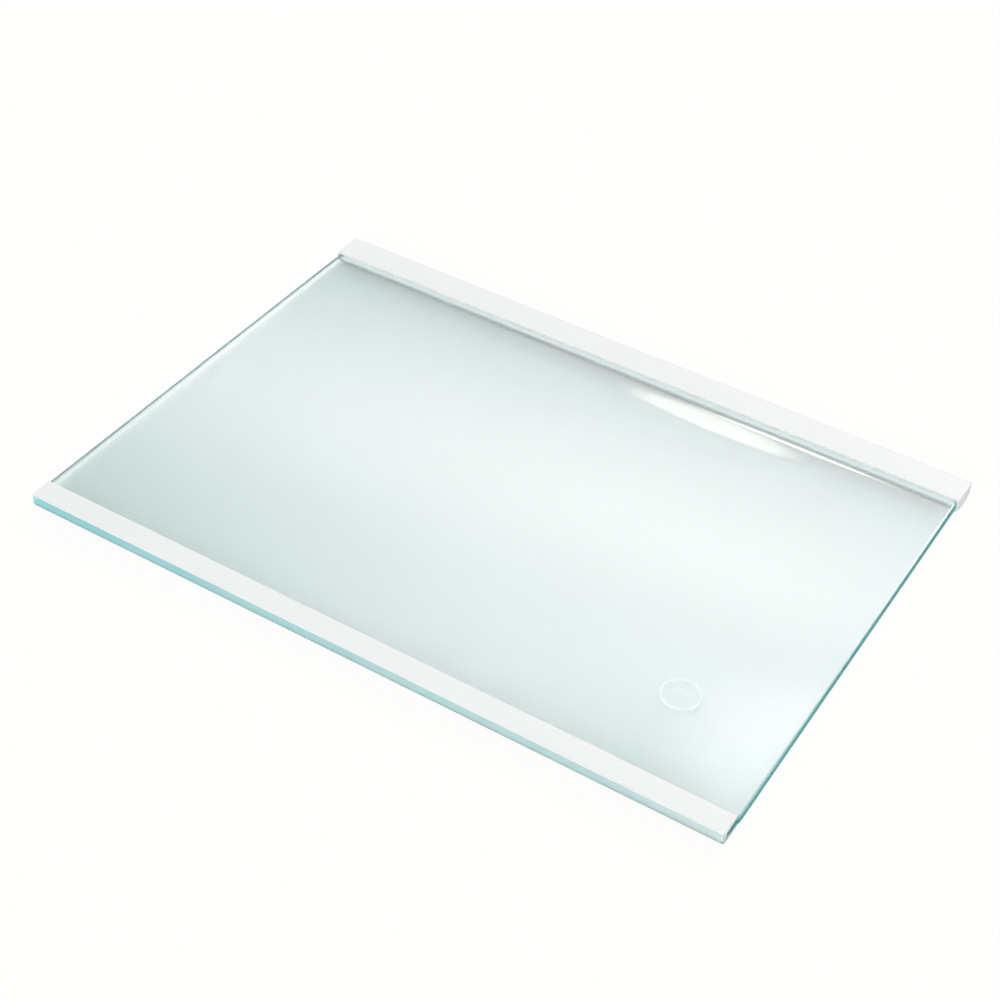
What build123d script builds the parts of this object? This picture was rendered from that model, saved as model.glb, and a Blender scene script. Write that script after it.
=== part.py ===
"""Glass shelf of a refrigerator, in millimetres.

A toughened glass panel carries the load. A white hollow profile with plugged-in end caps holds
its rear edge, and a clear moulding with a white strip on top holds its front edge.
X runs along the width, Y from the front to the back and Z up. The origin is under the middle of
the shelf, at the height of the rear trim's foot.
"""

import math
import os

from build123d import *

os.makedirs("parts", exist_ok=True)

# Glass panel
glass_width = 475.2
glass_depth = 335.0
glass_thickness = 5.0
glass_front_radius = 15.0  # front corners, in plan
glass_rear_radius = 20.0  # rear corners, in plan
glass_edge_flat = 0.2  # narrow flat left between the two rounded halves of the ground edge

# Clearances
glass_end_gap = 0.3  # glass edge to the bottom of a slot
glass_side_gap = 0.1  # glass side to the rear end caps
rear_slot_clearance = 0.4  # above the glass in the rear slot, bridged by the grip ribs
rib_gap = 0.05  # grip rib tip to the glass
front_bond_gap = 0.1  # bond line above the glass in the front slot
plug_clearance = 0.15  # end cap plug to the chamber wall

# Both trims
slot_lead_in = 0.4  # chamfer on the lips at the mouth of a slot

# Rear trim
rear_top_depth = 22.4  # flat top, from the lip's edge to the back edge
rear_foot_to_glass = 6.1  # foot to the underside of the glass
rear_lip = 1.5  # lip over the glass
rear_lower_lip = 1.8  # nose of the lip under the glass
rear_ledge = 0.6  # how far the lower lip reaches past the top lip
rear_back_depth = 7.2  # bottom of the slot to the top's back edge, room for the chamber
rear_wall = 1.5
rear_bulge = 0.6  # swell of the back behind the top's back edge
rear_bulge_height = 6.5  # height of the swell's furthest point
rear_foot_width = 5.0
rear_foot_setback = 4.5  # foot's back end, in front of the top's back edge
rear_belly = 0.6  # sag of the sloping underside
rear_edge_radius = 0.7
rear_heel_radius = 3.5
rib_count = 3
rib_inset = 2.5  # lip's edge to the first grip rib
rib_pitch = 4.0
rib_base = 1.0

# Rear end caps
cap_flange = 0.6
cap_edge_radius = 0.4
cap_rim = 1.4  # outline to the panel's groove
cap_front_strip = 2.8  # lip's edge to the panel's groove
cap_groove_width = 0.7
cap_groove_depth = 0.35
cap_notch_width = 1.4  # notch where the groove turns, behind the lip's edge
cap_notch_height = 1.0
cap_plug_length = 9.0

# Front trim
front_depth = 15.8  # top lip, from the front face
front_wall = 3.0
front_lip = 1.0
front_lower_lip = 3.5
front_ledge = 2.0  # how far the lower lip reaches past the top lip
front_end_inset = 1.6  # how far the open ends stand back from the glass sides
front_nose_radius = 4.0  # lower front edge
front_heel_radius = 2.5  # lower back edge
front_corner_radius = 1.2  # upright corners
front_shadow_edge = 0.3  # rounded upper rim, the fine dark line under the cover strip

# Front cover strip
cover_thickness = 0.8
cover_edge_radius = 0.6

# Heights
glass_bottom = rear_foot_to_glass
glass_top = glass_bottom + glass_thickness
rear_slot_top = glass_top + rear_slot_clearance
rear_height = rear_slot_top + rear_lip
front_slot_top = glass_top + front_bond_gap
front_body_top = front_slot_top + front_lip
front_bottom = glass_bottom - front_lower_lip

# Places along the depth, with the whole shelf centred on Y
overall_depth = front_wall + 2 * glass_end_gap + glass_depth + rear_back_depth + rear_bulge
front_face = -overall_depth / 2
glass_front = front_face + front_wall + glass_end_gap
glass_back = glass_front + glass_depth
rear_slot_back = glass_back + glass_end_gap
rear_back_edge = rear_slot_back + rear_back_depth
rear_lip_edge = rear_back_edge - rear_top_depth
rear_nose = rear_lip_edge - rear_ledge
rear_foot_back = rear_back_edge - rear_foot_setback
rear_foot_front = rear_foot_back - rear_foot_width
front_lip_edge = front_face + front_depth
front_nose = front_lip_edge + front_ledge

# Lengths along X
# The glass's rounded rear corners start in front of the nose, so the rear trim is a little shorter
corner_before_nose = max(glass_rear_radius - (glass_back - rear_nose), 0)
corner_inset = glass_rear_radius - math.sqrt(glass_rear_radius**2 - corner_before_nose**2)
rear_length = glass_width + 2 * (glass_side_gap - corner_inset)
front_length = glass_width - 2 * front_end_inset


def corner(sketch, y, z):
    """The corner of a section that lies at this depth and height."""
    return sketch.vertices().sort_by_distance((y, z))[0]


# Glass panel: one sheet, its four edges ground half-round
with BuildPart() as glass_panel:
    with BuildSketch(Plane.XY.offset(glass_bottom)) as glass_plan:
        with Locations((0, (glass_front + glass_back) / 2)):
            Rectangle(glass_width, glass_depth)
        fillet(glass_plan.vertices().group_by(Axis.Y)[0], glass_front_radius)
        fillet(glass_plan.vertices().group_by(Axis.Y)[-1], glass_rear_radius)
    extrude(amount=glass_thickness)
    rims = glass_panel.faces().filter_by(Axis.Z).edges()
    fillet(rims, (glass_thickness - glass_edge_flat) / 2)

# Outline of the rear trim and of its caps, with the glass slot still closed
with BuildSketch(Plane.YZ) as rear_outline:
    with BuildLine():
        Polyline(
            (rear_nose, glass_bottom - rear_lower_lip),
            (rear_nose, glass_bottom),
            (rear_lip_edge, rear_slot_top),
            (rear_lip_edge, rear_height),
            (rear_back_edge, rear_height),
        )
        swell = (rear_back_edge + rear_bulge, rear_bulge_height)
        TangentArc(swell, (rear_back_edge, rear_height), tangent=(0, 1))
        TangentArc(swell, (rear_foot_back, 0), tangent=(0, -1))
        Line((rear_foot_back, 0), (rear_foot_front, 0))
        SagittaArc(
            (rear_foot_front, 0),
            (rear_nose, glass_bottom - rear_lower_lip),
            rear_belly,
        )
    make_face()
    fillet(corner(rear_outline, rear_foot_back, 0), rear_heel_radius)
    fillet(corner(rear_outline, rear_foot_front, 0), rear_heel_radius)
    fillet(corner(rear_outline, rear_lip_edge, rear_height), rear_edge_radius)
    fillet(corner(rear_outline, rear_back_edge, rear_height), rear_edge_radius)
    fillet(corner(rear_outline, rear_nose, glass_bottom - rear_lower_lip), rear_edge_radius)

# Hollow of the rear trim, below and behind the glass slot
with BuildSketch(Plane.YZ) as rear_chamber:
    offset(rear_outline.sketch_local, amount=-rear_wall)
    web_back = rear_slot_back + rear_wall
    web_bottom = glass_bottom - rear_wall
    with Locations((web_back, web_bottom)):
        Rectangle(
            web_back - rear_nose,
            rear_height - web_bottom,
            align=(Align.MAX, Align.MIN),
            mode=Mode.SUBTRACT,
        )

# Section of the rear trim: slot cut, hollow cut, grip ribs under the top lip
with BuildSketch(Plane.YZ) as rear_section:
    add(rear_outline.sketch_local)
    with Locations((rear_slot_back, glass_bottom)):
        Rectangle(
            rear_slot_back - rear_nose,
            rear_slot_top - glass_bottom,
            align=(Align.MAX, Align.MIN),
            mode=Mode.SUBTRACT,
        )
    add(rear_chamber.sketch_local, mode=Mode.SUBTRACT)
    chamfer(corner(rear_section, rear_lip_edge, rear_slot_top), slot_lead_in)
    chamfer(corner(rear_section, rear_nose, glass_bottom), slot_lead_in)
    first_rib = rear_lip_edge + rib_inset
    with Locations(*[(first_rib + i * rib_pitch, rear_slot_top) for i in range(rib_count)]):
        Polygon(
            (-rib_base / 2, 0),
            (0, rib_gap - rear_slot_clearance),
            (rib_base / 2, 0),
            align=None,
        )

# Rear trim: the section drawn out to the shelf's width
with BuildPart() as rear_trim:
    extrude(rear_section.sketch, amount=rear_length / 2, both=True)


def cap_panel(inset):
    """Panel on the face of an end cap, its border this far inside the rim."""
    front = rear_lip_edge + cap_front_strip + inset
    with BuildSketch(Plane.YZ) as panel:
        offset(rear_outline.sketch_local, amount=-cap_rim - inset)
        with Locations((front, 0)):
            Rectangle(
                front - rear_nose,
                rear_height,
                align=(Align.MAX, Align.MIN),
                mode=Mode.SUBTRACT,
            )
    return panel.sketch_local


# Right end cap: a flange that closes the section, a groove round its panel, a notch and a plug
with BuildPart() as rear_end_cap_right:
    with BuildSketch(Plane.YZ.offset(rear_length / 2)):
        add(rear_outline.sketch_local)
    extrude(amount=cap_flange)
    fillet(rear_end_cap_right.faces().sort_by(Axis.X)[-1].edges(), cap_edge_radius)
    with BuildSketch(Plane.YZ.offset(rear_length / 2 + cap_flange)):
        add(cap_panel(0))
        add(cap_panel(cap_groove_width), mode=Mode.SUBTRACT)
    extrude(amount=-cap_groove_depth, mode=Mode.SUBTRACT)
    with BuildSketch(Plane.YZ.offset(rear_length / 2)):
        with Locations((rear_lip_edge + cap_front_strip, rear_height - cap_rim)):
            Rectangle(cap_notch_width, cap_notch_height)
    extrude(amount=cap_flange, mode=Mode.SUBTRACT)
    with BuildSketch(Plane.YZ.offset(rear_length / 2)):
        offset(rear_chamber.sketch_local, amount=-plug_clearance)
    extrude(amount=-cap_plug_length)

# Left end cap: the right one's mirror image
with BuildPart() as rear_end_cap_left:
    mirror(rear_end_cap_right.part, about=Plane.YZ)

# Front trim: a clear bar with a rounded lower front edge, slotted from end to end for the glass
with BuildPart() as front_trim:
    with BuildSketch(Plane.YZ) as front_outline:
        with BuildLine():
            Polyline(
                (front_face, front_body_top),
                (front_face, front_bottom),
                (front_nose, front_bottom),
                (front_nose, glass_bottom),
                (front_lip_edge, front_slot_top),
                (front_lip_edge, front_body_top),
                close=True,
            )
        make_face()
        fillet(corner(front_outline, front_face, front_bottom), front_nose_radius)
        fillet(corner(front_outline, front_nose, front_bottom), front_heel_radius)
    extrude(amount=front_length / 2, both=True)
    upright = front_trim.edges().filter_by(Axis.Z).group_by(Axis.Y)[0]
    fillet(upright, front_corner_radius)
    fillet(front_trim.faces().sort_by(Axis.Z)[-1].edges(), front_shadow_edge)
    with BuildSketch(Plane.YZ):
        with Locations((front_face + front_wall, glass_bottom)):
            Rectangle(
                front_nose - front_face,
                front_slot_top - glass_bottom,
                align=(Align.MIN, Align.MIN),
            )
    extrude(amount=front_length / 2, both=True, mode=Mode.SUBTRACT)
    lips = front_trim.edges().filter_by(Axis.X)
    chamfer(lips.sort_by_distance((0, front_lip_edge, front_slot_top))[0], slot_lead_in)
    lips = front_trim.edges().filter_by(Axis.X)
    chamfer(lips.sort_by_distance((0, front_nose, glass_bottom))[0], slot_lead_in)

# Front cover strip: a flat white strip with rounded upper edges, seated on the clear bar
with BuildPart() as front_cover_strip:
    with BuildSketch(Plane.XY.offset(front_body_top)):
        with Locations((0, front_face)):
            Rectangle(front_length, front_depth, align=(Align.CENTER, Align.MIN))
    extrude(amount=cover_thickness)
    fillet(front_cover_strip.edges().filter_by(Axis.Z), front_corner_radius)
    fillet(front_cover_strip.faces().sort_by(Axis.Z)[-1].edges(), cover_edge_radius)

pieces = {
    "glass_panel": glass_panel,
    "rear_trim": rear_trim,
    "rear_end_cap_left": rear_end_cap_left,
    "rear_end_cap_right": rear_end_cap_right,
    "front_trim": front_trim,
    "front_cover_strip": front_cover_strip,
}
for name, piece in pieces.items():
    piece.part.label = name
    export_step(piece.part, f"parts/{name}.step")

print(f"overall depth {overall_depth:.1f}, height {rear_height:.1f}, glass top {glass_top:.1f}")
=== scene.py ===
# %% [markdown]
# # A glass shelf from a fridge
# The shelf is a sheet of toughened glass held between two plastic trims. Its solids come from CAD
# with every size settled, so this lesson only gives them a finish, a stage and a camera.
# Loading comes first. The size of each CAD solid is printed.

# %% Load the CAD solids
import math

import bmesh
import bpy
from mathutils import Matrix, Quaternion, Vector


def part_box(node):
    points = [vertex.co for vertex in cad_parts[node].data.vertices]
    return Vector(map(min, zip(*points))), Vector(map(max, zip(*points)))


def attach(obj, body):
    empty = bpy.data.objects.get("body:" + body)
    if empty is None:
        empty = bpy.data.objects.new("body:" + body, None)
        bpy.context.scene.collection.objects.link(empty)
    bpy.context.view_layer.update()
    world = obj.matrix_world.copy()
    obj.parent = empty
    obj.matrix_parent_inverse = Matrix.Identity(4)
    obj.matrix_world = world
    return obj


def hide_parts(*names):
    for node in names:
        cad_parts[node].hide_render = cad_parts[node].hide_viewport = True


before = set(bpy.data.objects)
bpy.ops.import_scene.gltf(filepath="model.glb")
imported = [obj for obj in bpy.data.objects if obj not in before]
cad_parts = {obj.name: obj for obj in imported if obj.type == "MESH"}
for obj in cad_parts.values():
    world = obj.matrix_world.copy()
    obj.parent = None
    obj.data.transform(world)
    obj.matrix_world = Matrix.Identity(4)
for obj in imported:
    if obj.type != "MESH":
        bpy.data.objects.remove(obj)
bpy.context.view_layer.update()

MM = 0.001
scene = bpy.context.scene
for name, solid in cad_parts.items():
    low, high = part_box(name)
    size = (high - low) / MM
    print(f"{name}: {size.x:.1f} x {size.y:.1f} x {size.z:.1f} mm, {len(solid.data.polygons)} faces")

# %% [markdown]
# ## The camera
# The picture looks down on the shelf from its right front corner through a short telephoto lens,
# which keeps the far edge from shrinking much. Place, turn and lens were found by fitting the edges
# of the shelf to the same edges in the photograph, so the values are written as they came out.

# %% Camera
camera_place = Vector((0.44785, -0.81150, 0.80163))
camera_turn = [math.radians(angle) for angle in (49.151, -2.819, 31.726)]
camera_lens = 70.516

camera = bpy.data.objects.new("camera", bpy.data.cameras.new("camera"))
camera.data.lens = camera_lens
camera.location = camera_place
camera.rotation_euler = camera_turn
scene.collection.objects.link(camera)
scene.camera = camera
scene.view_settings.view_transform = "Standard"
print(f"camera {camera_place.length:.2f} m from the shelf, lens {camera_lens:.1f} mm")

# %% [markdown]
# ## Helpers for shader nodes
# Every finish below is a small graph of nodes. One helper adds a node, sets its options and fills the
# inputs that nothing is linked to, which keeps each graph to about one line a node. The other clears
# the nodes that a new material or world starts with, so that the graph holds only what is made here.


# %% Node helpers
def add_node(tree, kind, inputs=None, **options):
    """Adds a node of this kind with these options and input values."""
    node = tree.nodes.new(kind)
    for option, value in options.items():
        setattr(node, option, value)
    for socket, value in (inputs or {}).items():
        node.inputs[socket].default_value = value
    return node


def empty_tree(owner):
    """The node tree of a new material or world, with its default nodes removed."""
    owner.use_nodes = True
    owner.node_tree.nodes.clear()
    return owner.node_tree


# %% [markdown]
# ## The room
# Glass has hardly any colour of its own: what we see is the floor through it and the room in it. A
# lamp would show as a hard patch, so the room is a world with softboxes painted on it. Each is an
# oval that fades to its rim. A spherical gradient falls off around the origin, and the gradient's own
# mapping carries the middle of the oval there. A Mapping node would do the same, but it is worked out
# again for every ray, which slows the render.
#
# The first five stand behind the shelf, where the sheet mirrors them to the camera: a long strip, a
# panel above it, and small ones for the bright patch, the streak and the pale corner. The back light
# stands beside them, out of the mirror, and throws the rear trim's shade under the glass. The front
# light is for upright faces and the top light for the white trims. The rest is a faint cool fill.

# %% World
room_level = (0.17, 0.25, 0.25)

# Azimuth and elevation of the middle, half width, half height, turn, softness, and level in red,
# green and blue. Angles are in degrees. A softness of 1 fades all the way from the middle.
softboxes = {
    "strip": (-18.6, 42.2, 42.7, 8.3, 9.2, 1.0, (4.73, 3.61, 3.56)),
    "panel": (-5.7, 52.0, 45.0, 8.0, 0.0, 0.5, (2.10, 1.75, 1.78)),
    "patch": (-21.6, 37.9, 3.2, 0.3, 13.8, 0.5, (2.9, 2.5, 2.2)),
    "streak": (-18.4, 38.19, 3.6, 0.06, 11.6, 0.6, (5.0, 5.0, 5.0)),
    "corner": (-15.5, 47.5, 5.0, 3.5, 0.0, 0.6, (1.3, 1.0, 1.0)),
    "back": (12.0, 35.2, 18.0, 10.0, -7.0, 0.4, (15.5, 15.5, 15.5)),
    "front": (180.0, 25.0, 32.0, 18.0, 0.0, 1.0, (11.8, 11.8, 11.8)),
    "top": (180.0, 62.0, 35.0, 15.0, 0.0, 1.0, (4.0, 4.0, 4.0)),
}


def toward(azimuth, elevation):
    """The direction at this azimuth, counted from +Y towards +X, and elevation, in degrees."""
    a = math.radians(azimuth)
    e = math.radians(elevation)
    return Vector((math.sin(a) * math.cos(e), math.cos(a) * math.cos(e), math.sin(e)))


def softbox(tree, view, azimuth, elevation, half_width, half_height, turn, softness, level):
    """The brightness of one oval light in the directions around the shelf."""
    out = toward(azimuth, elevation)
    side = toward(azimuth + 90, 0)
    side.rotate(Quaternion(out, math.radians(-turn)))
    upward = side.cross(out)
    oval = add_node(tree, "ShaderNodeTexGradient", gradient_type="SPHERICAL")
    oval.texture_mapping.vector_type = "TEXTURE"
    oval.texture_mapping.translation = out
    oval.texture_mapping.rotation = Matrix((side, out, upward)).transposed().to_euler()
    oval.texture_mapping.scale = (
        math.sin(math.radians(half_width)),
        1.0,
        math.sin(math.radians(half_height)),
    )
    soft = add_node(tree, "ShaderNodeMapRange", {"From Max": softness}, interpolation_type="SMOOTHSTEP")
    bright = add_node(tree, "ShaderNodeVectorMath", {"Vector": level}, operation="SCALE")
    tree.links.new(view.outputs["Generated"], oval.inputs["Vector"])
    tree.links.new(oval.outputs["Fac"], soft.inputs["Value"])
    tree.links.new(soft.outputs["Result"], bright.inputs["Scale"])
    return bright.outputs["Vector"]


world = bpy.data.worlds.new("soft_room")
scene.world = world
tree = empty_tree(world)
view = add_node(tree, "ShaderNodeTexCoord")
fill = add_node(tree, "ShaderNodeCombineXYZ", dict(zip("XYZ", room_level)))
total = fill.outputs["Vector"]
for label, values in softboxes.items():
    light = softbox(tree, view, *values)
    both = add_node(tree, "ShaderNodeVectorMath", operation="ADD")
    tree.links.new(total, both.inputs[0])
    tree.links.new(light, both.inputs[1])
    total = both.outputs["Vector"]
    print(f"softbox {label}: azimuth {values[0]}, elevation {values[1]}, level {values[-1]}")

# %% [markdown]
# The camera itself never looks at the softboxes. Where it would see past the floor's edge it gets
# plain white, as on a studio sweep.

# %% What the camera sees of the world
room = add_node(tree, "ShaderNodeBackground", {"Strength": 1.0})
white = add_node(tree, "ShaderNodeBackground", {"Color": (1.0, 1.0, 1.0, 1.0), "Strength": 1.0})
path = add_node(tree, "ShaderNodeLightPath")
either = add_node(tree, "ShaderNodeMixShader")
output = add_node(tree, "ShaderNodeOutputWorld")
tree.links.new(total, room.inputs["Color"])
tree.links.new(path.outputs["Is Camera Ray"], either.inputs["Fac"])
tree.links.new(room.outputs[0], either.inputs[1])
tree.links.new(white.outputs[0], either.inputs[2])
tree.links.new(either.outputs[0], output.inputs["Surface"])
print(f"{world.name}: {len(softboxes)} softboxes, {len(tree.nodes)} nodes")

# %% [markdown]
# ## The floor
# A white sweep is almost burnt out in the photograph. The floor does the same with a share of plain
# white emission that only the camera, mirrors and glass see, and the rest is matt white that takes
# the shelf's shadow. A ray that has gone through glass counts as a mirror ray too, so the share for
# glass is picked last. It is the smaller one, which lets the shade under the trims read.

# %% Floor
floor_radius = 4.0
floor_drop = 0.05 * MM
floor_white = (1.0, 0.995, 0.99, 1.0)
floor_matt = (0.95, 0.947, 0.942, 1.0)
camera_share = 0.95
glass_share = 0.12

mesh = bpy.data.meshes.new("floor")
bm = bmesh.new()
bmesh.ops.create_circle(
    bm, cap_ends=True, segments=96, radius=floor_radius, matrix=Matrix.Translation((0, 0, -floor_drop))
)
bm.to_mesh(mesh)
bm.free()
floor = bpy.data.objects.new("floor", mesh)
scene.collection.objects.link(floor)

floor_material = bpy.data.materials.new("white_sweep")
tree = empty_tree(floor_material)
path = add_node(tree, "ShaderNodeLightPath")
seen = add_node(tree, "ShaderNodeMath", operation="MAXIMUM")
seen_share = add_node(tree, "ShaderNodeMath", {1: camera_share}, operation="MULTIPLY")
share = add_node(tree, "ShaderNodeMix", {"B": glass_share}, data_type="FLOAT")
matt = add_node(tree, "ShaderNodeBsdfDiffuse", {"Color": floor_matt})
burnt = add_node(tree, "ShaderNodeEmission", {"Color": floor_white, "Strength": 1.0})
mix = add_node(tree, "ShaderNodeMixShader")
output = add_node(tree, "ShaderNodeOutputMaterial")
tree.links.new(path.outputs["Is Camera Ray"], seen.inputs[0])
tree.links.new(path.outputs["Is Glossy Ray"], seen.inputs[1])
tree.links.new(seen.outputs[0], seen_share.inputs[0])
tree.links.new(path.outputs["Is Transmission Ray"], share.inputs["Factor"])
tree.links.new(seen_share.outputs[0], share.inputs["A"])
tree.links.new(share.outputs["Result"], mix.inputs["Fac"])
tree.links.new(matt.outputs[0], mix.inputs[1])
tree.links.new(burnt.outputs[0], mix.inputs[2])
tree.links.new(mix.outputs[0], output.inputs["Surface"])
floor.data.materials.append(floor_material)
print(f"floor {2 * floor_radius:.0f} m across")

# %% [markdown]
# ## What the plastics share
# Moulded plastic is never perfectly even: the tool leaves a fine grain, and the flow of the melt a
# slow drift in tone. Both plastics need the pair at their own scale, so it is a node group.

# %% Moulded surface group
moulded = bpy.data.node_groups.new("moulded_surface", "ShaderNodeTree")
moulded.interface.new_socket("Grain Scale", in_out="INPUT", socket_type="NodeSocketFloat")
moulded.interface.new_socket("Drift Scale", in_out="INPUT", socket_type="NodeSocketFloat")
moulded.interface.new_socket("Grain", in_out="OUTPUT", socket_type="NodeSocketFloat")
moulded.interface.new_socket("Drift", in_out="OUTPUT", socket_type="NodeSocketFloat")
given = add_node(moulded, "NodeGroupInput")
place = add_node(moulded, "ShaderNodeTexCoord")
grain = add_node(moulded, "ShaderNodeTexNoise", {"Detail": 3.0, "Roughness": 0.6})
drift = add_node(moulded, "ShaderNodeTexNoise", {"Detail": 2.0, "Roughness": 0.5})
result = add_node(moulded, "NodeGroupOutput")
moulded.links.new(place.outputs["Object"], grain.inputs["Vector"])
moulded.links.new(place.outputs["Object"], drift.inputs["Vector"])
moulded.links.new(given.outputs["Grain Scale"], grain.inputs["Scale"])
moulded.links.new(given.outputs["Drift Scale"], drift.inputs["Scale"])
moulded.links.new(grain.outputs[0], result.inputs["Grain"])
moulded.links.new(drift.outputs[0], result.inputs["Drift"])
print(f"group {moulded.name}: {len(moulded.nodes)} nodes")

# %% [markdown]
# ## White plastic
# The rear trim, its caps and the front strip are satin white. The drift moves the white a little and
# the grain breaks up the gloss, which is what tells plastic from paint.

# %% White plastic
plastic_ior = 1.49
white_dull = (0.780, 0.766, 0.764, 1.0)
white_bright = (0.815, 0.802, 0.800, 1.0)
satin = {"To Min": 0.34, "To Max": 0.46}
white_scales = {"Grain Scale": 2600.0, "Drift Scale": 18.0}

white_plastic = bpy.data.materials.new("satin_white_plastic")
tree = empty_tree(white_plastic)
surface = add_node(tree, "ShaderNodeGroup", white_scales, node_tree=moulded)
tone = add_node(tree, "ShaderNodeMix", {"A": white_dull, "B": white_bright}, data_type="RGBA")
gloss = add_node(tree, "ShaderNodeMapRange", satin)
relief = add_node(tree, "ShaderNodeBump", {"Strength": 0.06, "Distance": 0.05 * MM})
shader = add_node(tree, "ShaderNodeBsdfPrincipled", {"IOR": plastic_ior, "Emission Strength": 1.0})
output = add_node(tree, "ShaderNodeOutputMaterial")
tree.links.new(surface.outputs["Drift"], tone.inputs["Factor"])
tree.links.new(surface.outputs["Grain"], gloss.inputs["Value"])
tree.links.new(surface.outputs["Grain"], relief.inputs["Height"])
tree.links.new(tone.outputs["Result"], shader.inputs["Base Color"])
tree.links.new(gloss.outputs["Result"], shader.inputs["Roughness"])
tree.links.new(relief.outputs["Normal"], shader.inputs["Normal"])
tree.links.new(shader.outputs[0], output.inputs["Surface"])
print(f"{white_plastic.name}: {len(tree.nodes)} nodes")

# %% [markdown]
# Light that enters the sheet is piped along it and scatters where it meets the plastic in the rear
# slot, so the slot shows pale in the photograph. Following those paths takes far too long. The walls
# of the slot give a little light instead, and a test of each point's place finds the walls.

# %% Painted glow of the slot
# Painted light: the walls of the slot glow in this colour, in place of the light scattered there.
slot_painted_glow = (0.44, 0.40, 0.395, 1.0)
slot_margin = 0.1 * MM
slot_headroom = 0.45 * MM
no_glow = (0.0, 0.0, 0.0, 1.0)
glass_low, glass_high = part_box("glass_panel")
rear_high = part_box("rear_trim")[1]

place = add_node(tree, "ShaderNodeTexCoord")
axes = add_node(tree, "ShaderNodeSeparateXYZ")
across = add_node(tree, "ShaderNodeMath", operation="ABSOLUTE")
tree.links.new(place.outputs["Object"], axes.inputs["Vector"])
tree.links.new(axes.outputs["X"], across.inputs[0])
walls = [
    (across.outputs[0], "LESS_THAN", rear_high.x - slot_margin),
    (axes.outputs["Y"], "LESS_THAN", glass_high.y + slot_headroom),
    (axes.outputs["Z"], "GREATER_THAN", glass_low.z - slot_margin),
    (axes.outputs["Z"], "LESS_THAN", glass_high.z + slot_headroom),
]
one = add_node(tree, "ShaderNodeValue")
one.outputs[0].default_value = 1.0
inside = one.outputs[0]
for value, side, limit in walls:
    within = add_node(tree, "ShaderNodeMath", {1: limit}, operation=side)
    both = add_node(tree, "ShaderNodeMath", operation="MULTIPLY")
    tree.links.new(value, within.inputs[0])
    tree.links.new(inside, both.inputs[0])
    tree.links.new(within.outputs[0], both.inputs[1])
    inside = both.outputs[0]
glow = add_node(tree, "ShaderNodeMix", {"A": no_glow, "B": slot_painted_glow}, data_type="RGBA")
tree.links.new(inside, glow.inputs["Factor"])
tree.links.new(glow.outputs["Result"], shader.inputs["Emission Color"])

for name in ("rear_trim", "rear_end_cap_left", "rear_end_cap_right", "front_cover_strip"):
    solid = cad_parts[name]
    solid.data.materials.clear()
    solid.data.materials.append(white_plastic)
    print(f"{name}: {white_plastic.name}")

# %% [markdown]
# ## Clear tinted plastic
# The front trim is a teal-tinted plastic that is clear but not quite: part of the light passes, and
# part is scattered back in the tint's own colour, which makes the front face an even teal. The colour
# runs a little paler towards the right end, so it is a ramp along the trim with the drift of the
# moulding on top. Low on the face, where the nose curves under, the colour is darkened: that is painted
# shade.

# %% Clear plastic
trim_low, trim_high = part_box("front_trim")
left_tint = (0.41, 0.86, 0.89, 1.0)
right_tint = (0.89, 1.0, 1.0, 1.0)
# Painted shade: the lowest part of the face is darkened towards this colour.
low_shade_colour = (0.20, 0.46, 0.46, 1.0)
low_shade_height = 6.0 * MM
clear_share = 0.45
body_tint = {"Color": (0.55, 0.85, 0.84, 1.0), "Density": 20.0}
clear_scales = {"Grain Scale": 900.0, "Drift Scale": 25.0}

clear_plastic = bpy.data.materials.new("clear_teal_plastic")
tree = empty_tree(clear_plastic)
surface = add_node(tree, "ShaderNodeGroup", clear_scales, node_tree=moulded)
place = add_node(tree, "ShaderNodeTexCoord")
axes = add_node(tree, "ShaderNodeSeparateXYZ")
along = add_node(tree, "ShaderNodeMapRange", {"From Min": trim_low.x, "From Max": trim_high.x})
uneven = add_node(tree, "ShaderNodeMapRange", {"To Min": -0.25, "To Max": 0.25})
ramp = add_node(tree, "ShaderNodeMath", operation="ADD", use_clamp=True)
tone = add_node(tree, "ShaderNodeMix", {"A": left_tint, "B": right_tint}, data_type="RGBA")
height = add_node(
    tree,
    "ShaderNodeMapRange",
    {"From Min": trim_low.z, "From Max": trim_low.z + low_shade_height},
    interpolation_type="SMOOTHSTEP",
)
shaded = add_node(tree, "ShaderNodeMix", {"A": low_shade_colour}, data_type="RGBA")
gloss = add_node(tree, "ShaderNodeMapRange", {"To Min": 0.10, "To Max": 0.25})
shader = add_node(
    tree, "ShaderNodeBsdfPrincipled", {"IOR": plastic_ior, "Transmission Weight": clear_share}
)
tint = add_node(tree, "ShaderNodeVolumeAbsorption", body_tint)
output = add_node(tree, "ShaderNodeOutputMaterial")
tree.links.new(place.outputs["Object"], axes.inputs["Vector"])
tree.links.new(axes.outputs["X"], along.inputs["Value"])
tree.links.new(surface.outputs["Drift"], uneven.inputs["Value"])
tree.links.new(along.outputs["Result"], ramp.inputs[0])
tree.links.new(uneven.outputs["Result"], ramp.inputs[1])
tree.links.new(ramp.outputs[0], tone.inputs["Factor"])
tree.links.new(axes.outputs["Z"], height.inputs["Value"])
tree.links.new(height.outputs["Result"], shaded.inputs["Factor"])
tree.links.new(tone.outputs["Result"], shaded.inputs["B"])
tree.links.new(shaded.outputs["Result"], shader.inputs["Base Color"])
tree.links.new(surface.outputs["Grain"], gloss.inputs["Value"])
tree.links.new(gloss.outputs["Result"], shader.inputs["Roughness"])
tree.links.new(shader.outputs[0], output.inputs["Surface"])
tree.links.new(tint.outputs[0], output.inputs["Volume"])

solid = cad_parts["front_trim"]
solid.data.materials.clear()
solid.data.materials.append(clear_plastic)
print(f"front_trim: {clear_plastic.name}")

# %% [markdown]
# ## Glass
# Shelf glass holds a little iron, which takes red out of the light. A faint mint on the skin colours
# what is seen straight through, and absorption inside turns the light that has crept along the sheet
# teal, which is what the edges show. The edges are ground, so they are rougher than the polished
# faces. An attribute on the sheet, 0 on its faces and 1 on its edges, tells the two apart.

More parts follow.
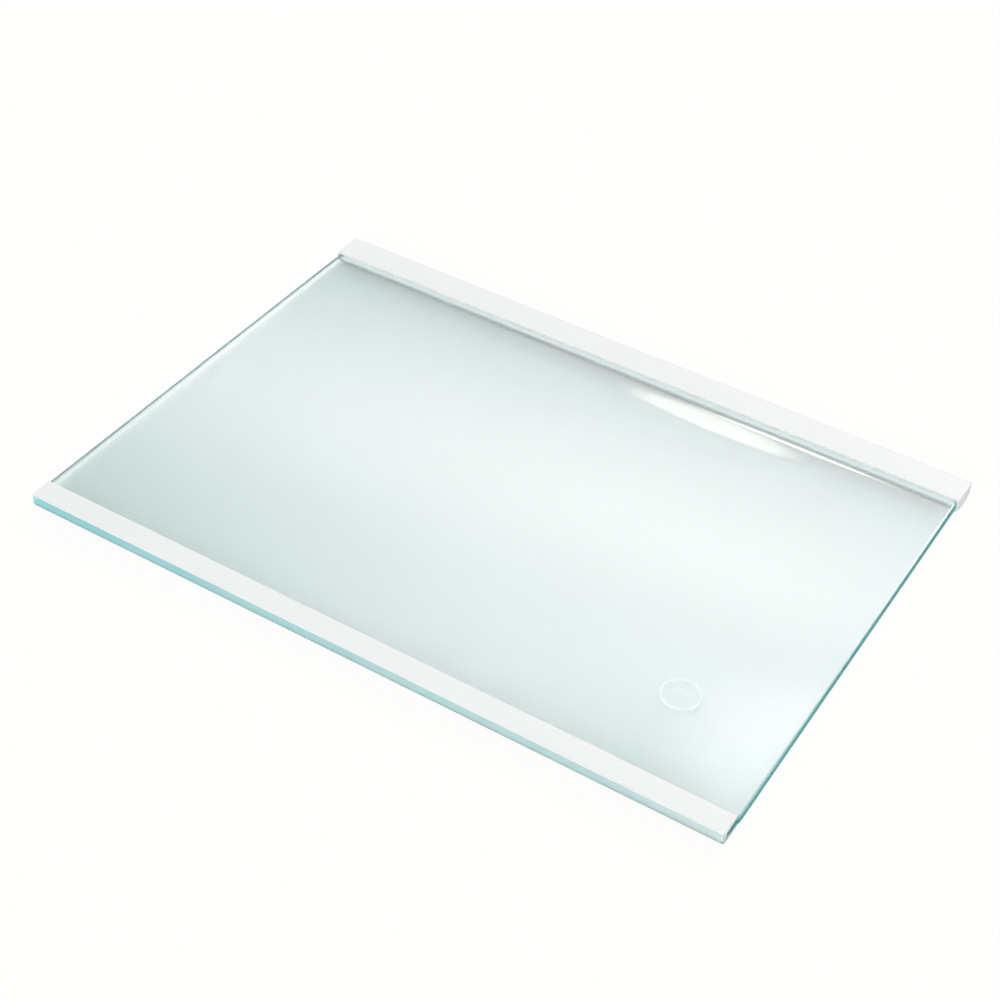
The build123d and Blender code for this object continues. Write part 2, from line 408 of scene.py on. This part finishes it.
# %% Glass material
face_tint = (0.90, 1.0, 1.0, 1.0)
edge_tint = (0.03, 0.22, 0.215, 1.0)
edge_rough = 0.7
iron_tint = {"Color": (0.0, 0.80, 0.75, 1.0), "Density": 6.0}
glass_ior = 1.52

glass = bpy.data.materials.new("shelf_glass")
tree = empty_tree(glass)
place = add_node(tree, "ShaderNodeTexCoord")
rim = add_node(tree, "ShaderNodeAttribute", attribute_name="rim")
tone = add_node(tree, "ShaderNodeMix", {"A": face_tint, "B": edge_tint}, data_type="RGBA")
gloss = add_node(tree, "ShaderNodeMix", {"A": 0.0, "B": edge_rough}, data_type="FLOAT")
shader = add_node(
    tree,
    "ShaderNodeBsdfPrincipled",
    {"IOR": glass_ior, "Transmission Weight": 1.0, "Emission Strength": 1.0},
)
tint = add_node(tree, "ShaderNodeVolumeAbsorption", iron_tint)
output = add_node(tree, "ShaderNodeOutputMaterial")
tree.links.new(rim.outputs["Fac"], tone.inputs["Factor"])
tree.links.new(rim.outputs["Fac"], gloss.inputs["Factor"])
tree.links.new(tone.outputs["Result"], shader.inputs["Base Color"])
tree.links.new(gloss.outputs["Result"], shader.inputs["Roughness"])
tree.links.new(shader.outputs[0], output.inputs["Surface"])
tree.links.new(tint.outputs[0], output.inputs["Volume"])

# %% [markdown]
# At the right edge some of the piped light comes out, which is painted on as a faint teal glow on that
# edge alone: painted light, not a lamp. The edge is found by the way its faces look, the normal's X
# squared, and by its place right of the middle. The square is there because the normal turns round on
# the inside of a face.

# %% Painted glow of the right edge
# Painted light: the right edge glows in this colour, and the left edge has none.
painted_edge_glow = (0.05, 0.26, 0.26, 1.0)

facing = add_node(tree, "ShaderNodeSeparateXYZ")
sideways = add_node(tree, "ShaderNodeMath", operation="MULTIPLY")
spot = add_node(tree, "ShaderNodeSeparateXYZ")
right_half = add_node(tree, "ShaderNodeMath", {1: 0.0}, operation="GREATER_THAN")
right_edge = add_node(tree, "ShaderNodeMath", operation="MULTIPLY")
glow = add_node(tree, "ShaderNodeMix", {"A": no_glow, "B": painted_edge_glow}, data_type="RGBA")
tree.links.new(place.outputs["Normal"], facing.inputs["Vector"])
tree.links.new(facing.outputs["X"], sideways.inputs[0])
tree.links.new(facing.outputs["X"], sideways.inputs[1])
tree.links.new(place.outputs["Object"], spot.inputs["Vector"])
tree.links.new(spot.outputs["X"], right_half.inputs[0])
tree.links.new(sideways.outputs[0], right_edge.inputs[0])
tree.links.new(right_half.outputs[0], right_edge.inputs[1])
tree.links.new(right_edge.outputs[0], glow.inputs["Factor"])
tree.links.new(glow.outputs["Result"], shader.inputs["Emission Color"])
print(f"{glass.name}: {len(tree.nodes)} nodes")

# %% [markdown]
# ## The glass sheet
# The CAD sheet has the right form, but its faces touch the trims exactly, and two faces in one place
# confuse a ray that passes through both. So the sheet is made again, a hair smaller all round:
# a rectangle with bevelled corners, drawn up to its thickness, with a half-round bevel on both rims.
# A thin ring of faces inside each rim keeps the large flat faces perfectly flat when shaded smooth.

# %% Glass sheet
sheet_clearance = 0.02 * MM
front_corner = 15.0 * MM
rear_corner = 20.0 * MM
sheet_edge_flat = 0.2 * MM
rim_ring = 0.4 * MM

low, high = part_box("glass_panel")
low += Vector((1, 1, 1)) * sheet_clearance
high -= Vector((1, 1, 1)) * sheet_clearance
middle = (low + high) / 2
thickness = high.z - low.z

bm = bmesh.new()
bmesh.ops.create_grid(bm, x_segments=1, y_segments=1, size=0.5)
bmesh.ops.scale(bm, vec=(high.x - low.x, high.y - low.y, 1), verts=bm.verts)
bmesh.ops.translate(bm, vec=(middle.x, middle.y, low.z), verts=bm.verts)
front = [vert for vert in bm.verts if vert.co.y < middle.y]
rear = [vert for vert in bm.verts if vert.co.y > middle.y]
for corners, radius in ((front, front_corner), (rear, rear_corner)):
    bmesh.ops.bevel(
        bm, geom=corners, offset=radius, affect="VERTICES", segments=20, profile=0.5, material=-1
    )
drawn = bmesh.ops.extrude_face_region(bm, geom=bm.faces[:])
raised = [part for part in drawn["geom"] if isinstance(part, bmesh.types.BMVert)]
bmesh.ops.translate(bm, vec=(0, 0, thickness), verts=raised)
bmesh.ops.recalc_face_normals(bm, faces=bm.faces)
rims = [edge for edge in bm.edges if abs(edge.verts[0].co.z - edge.verts[1].co.z) < thickness / 2]
bmesh.ops.bevel(
    bm,
    geom=rims,
    offset=(thickness - sheet_edge_flat) / 2,
    affect="EDGES",
    segments=12,
    profile=0.5,
    material=-1,
)
flats = [face for face in bm.faces if abs(face.normal.z) > 0.9999]
bmesh.ops.inset_individual(bm, faces=flats, thickness=rim_ring)
bm.normal_update()
print(f"glass sheet: {len(bm.faces)} faces, {thickness / MM:.2f} mm thick")

# %% [markdown]
# The rim attribute is read from the shape itself: the more a point's normal lies level, the further
# it is round the edge. Then the sheet takes the place of the CAD one.

# %% Rim attribute and finish of the sheet
rim_layer = bm.verts.layers.float.new("rim")
for vert in bm.verts:
    vert[rim_layer] = vert.normal.xy.length
for face in bm.faces:
    face.smooth = True
mesh = bpy.data.meshes.new("glass_sheet")
bm.to_mesh(mesh)
bm.free()
sheet = bpy.data.objects.new("glass_sheet", mesh)
scene.collection.objects.link(sheet)
sheet.data.materials.append(glass)
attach(sheet, "root")
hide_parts("glass_panel")
print(f"{sheet.name}: {len(mesh.vertices)} points with a rim value")

# %% [markdown]
# ## The etched mark
# Near the right edge a small ring is etched into the glass, as safety glass is marked. It is a thin
# band between two circles, given a hair of thickness, with three plain bars where the mark would be.
# Etched glass scatters light, so the finish is a matt white that is partly see-through. It also catches
# light from inside the sheet, and a trace of painted glow stands for that: painted light that keeps the
# ring a touch whiter than the glass.

# %% Etched finish
etch_white = (0.93, 0.96, 0.96, 1.0)
# Painted light: a faint glow on the etched finish.
etch_painted_glow = (0.07, 0.075, 0.075, 1.0)

etched = bpy.data.materials.new("etched_glass")
tree = empty_tree(etched)
place = add_node(tree, "ShaderNodeTexCoord")
bite = add_node(tree, "ShaderNodeTexNoise", {"Scale": 1500.0, "Detail": 2.0})
cover = add_node(tree, "ShaderNodeMapRange", {"To Min": 0.6, "To Max": 1.0})
shader = add_node(
    tree,
    "ShaderNodeBsdfPrincipled",
    {"Base Color": etch_white, "Roughness": 0.8, "Emission Color": etch_painted_glow, "Emission Strength": 1.0},
)
output = add_node(tree, "ShaderNodeOutputMaterial")
tree.links.new(place.outputs["Object"], bite.inputs["Vector"])
tree.links.new(bite.outputs[0], cover.inputs["Value"])
tree.links.new(cover.outputs["Result"], shader.inputs["Alpha"])
tree.links.new(shader.outputs[0], output.inputs["Surface"])
print(f"{etched.name}: {len(tree.nodes)} nodes")

# %% [markdown]
# The ring lies in the hair's breadth between the smaller sheet and the top of the CAD one, so it
# stands on the glass and the shelf grows no thicker.

# %% Etched ring
mark_place = Vector((169.4 * MM, -95.2 * MM, 0.0))
mark_radius = 12.0 * MM
mark_line = 0.75 * MM
mark_lift = 0.005 * MM
bar_size = (9.0 * MM, 0.5 * MM)
bar_pitch = 3.2 * MM

mark_bottom = high.z + mark_lift
mark_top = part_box("glass_panel")[1].z
ground = Matrix.Translation((mark_place.x, mark_place.y, mark_bottom))
bm = bmesh.new()
for radius in (mark_radius, mark_radius - mark_line):
    bmesh.ops.create_circle(bm, cap_ends=False, segments=96, radius=radius, matrix=ground)
bmesh.ops.bridge_loops(bm, edges=bm.edges[:])
for step in (-1, 0, 1):
    bar = bmesh.ops.create_grid(bm, x_segments=1, y_segments=1, size=0.5)
    bar_place = ground.translation + Vector((0, step * bar_pitch, 0))
    bmesh.ops.scale(bm, vec=(bar_size[0], bar_size[1], 1), verts=bar["verts"])
    bmesh.ops.translate(bm, vec=bar_place, verts=bar["verts"])
drawn = bmesh.ops.extrude_face_region(bm, geom=bm.faces[:])
raised = [part for part in drawn["geom"] if isinstance(part, bmesh.types.BMVert)]
bmesh.ops.translate(bm, vec=(0, 0, mark_top - mark_bottom), verts=raised)
bmesh.ops.recalc_face_normals(bm, faces=bm.faces)
mesh = bpy.data.meshes.new("etched_ring")
bm.to_mesh(mesh)
bm.free()
ring = bpy.data.objects.new("etched_ring", mesh)
scene.collection.objects.link(ring)
ring.data.materials.append(etched)
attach(ring, "root")
print(f"etched ring: {len(mesh.polygons)} faces, {2 * mark_radius / MM:.0f} mm across")
